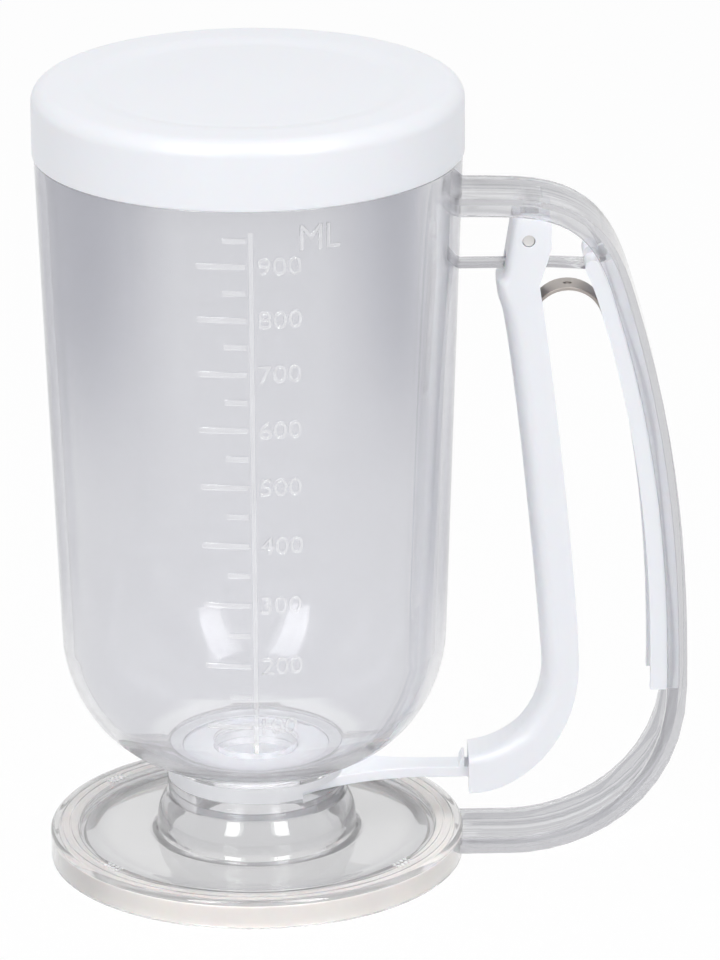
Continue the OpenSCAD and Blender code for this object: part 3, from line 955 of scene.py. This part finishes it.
def place_camera():
    """A long lens in front of the object and above it."""
    ahead = Vector((math.sin(YAW) * math.cos(PITCH), math.cos(YAW) * math.cos(PITCH), -math.sin(PITCH)))
    level = Vector((math.cos(YAW), -math.sin(YAW), 0.0))
    above = level.cross(ahead)
    right = level * math.cos(ROLL) + above * math.sin(ROLL)
    up = above * math.cos(ROLL) - level * math.sin(ROLL)
    data = bpy.data.cameras.new("camera")
    data.lens, data.sensor_width = LENS, SENSOR
    data.clip_start, data.clip_end = NEAR, FAR
    camera = placed("camera", data)
    turn = Matrix((right, up, -ahead)).transposed()
    camera.matrix_world = Matrix.Translation(EYE) @ turn.to_4x4()
    scene.camera = camera


def light_world(level):
    """White behind everything that is seen, and an even grey room that lights the object."""
    world = bpy.data.worlds.new("studio")
    scene.world = world
    world.use_nodes = True
    sky = Nodes(world.node_tree)
    room = sky.add("ShaderNodeBackground", sockets={"Color": (*level, 1.0)})
    backdrop = sky.add("ShaderNodeBackground", sockets={"Color": WHITE})
    sky.add("ShaderNodeOutputWorld", sockets={"Surface": sky.mixed(sky.seen_directly(), room, backdrop)})


def softbox(name, azimuth, elevation, distance, width, height, power, lights_walls=True):
    """A panel that faces the middle of the object. One that doesn't light walls shows in gloss only."""
    data = bpy.data.lights.new(name, "AREA")
    data.shape = "RECTANGLE"
    data.size, data.size_y, data.energy = width, height, power
    lamp = placed(name, data)
    az, el = math.radians(azimuth), math.radians(elevation)
    way = Vector((math.sin(az) * math.cos(el), -math.cos(az) * math.cos(el), math.sin(el)))
    lamp.location = MIDDLE + way * distance
    lamp.rotation_euler = way.to_track_quat("Z", "Y").to_euler()
    lamp.visible_diffuse = lights_walls


def floor(whiteness):
    """A pale floor: white to the eye, with a soft shadow under the object."""
    finish = Finish("pale_floor")
    paper = finish.between(finish.noise(3.0), (0.90, 0.90, 0.90), (0.92, 0.92, 0.92))
    matt = finish.add("ShaderNodeBsdfDiffuse", sockets={"Color": paper})
    glow = finish.add("ShaderNodeEmission", sockets={"Color": WHITE})
    material = finish.show(finish.mixed(finish.seen_directly() * whiteness, matt, glow))
    bm = bmesh.new()
    bmesh.ops.create_grid(bm, x_segments=4, y_segments=4, size=FLOOR_HALF)
    bmesh.ops.translate(bm, verts=bm.verts, vec=(0, FLOOR_BACK, -FLOOR_DROP))
    piece = placed("floor", mesh_of(bm, "floor"))
    piece.data.materials.append(material)


place_camera()
light_world((0.54, 0.545, 0.56))
softbox("panel_top", azimuth=0, elevation=88, distance=1.2, width=1.0, height=1.0, power=1.65)
for side, word in ((-1, "left"), (1, "right")):
    softbox("panel_" + word, azimuth=29 * side, elevation=42, distance=1.2,
            width=0.42, height=1.1, power=3.6)
    softbox("window_" + word, azimuth=31.5 * side, elevation=42, distance=1.18,
            width=0.32, height=1.35, power=9.0, lights_walls=False)
    softbox("side_" + word, azimuth=100 * side, elevation=15, distance=1.2,
            width=1.0, height=0.9, power=0.6 + 0.05 * side)
floor(0.95)

scene.view_settings.view_transform = "Standard"
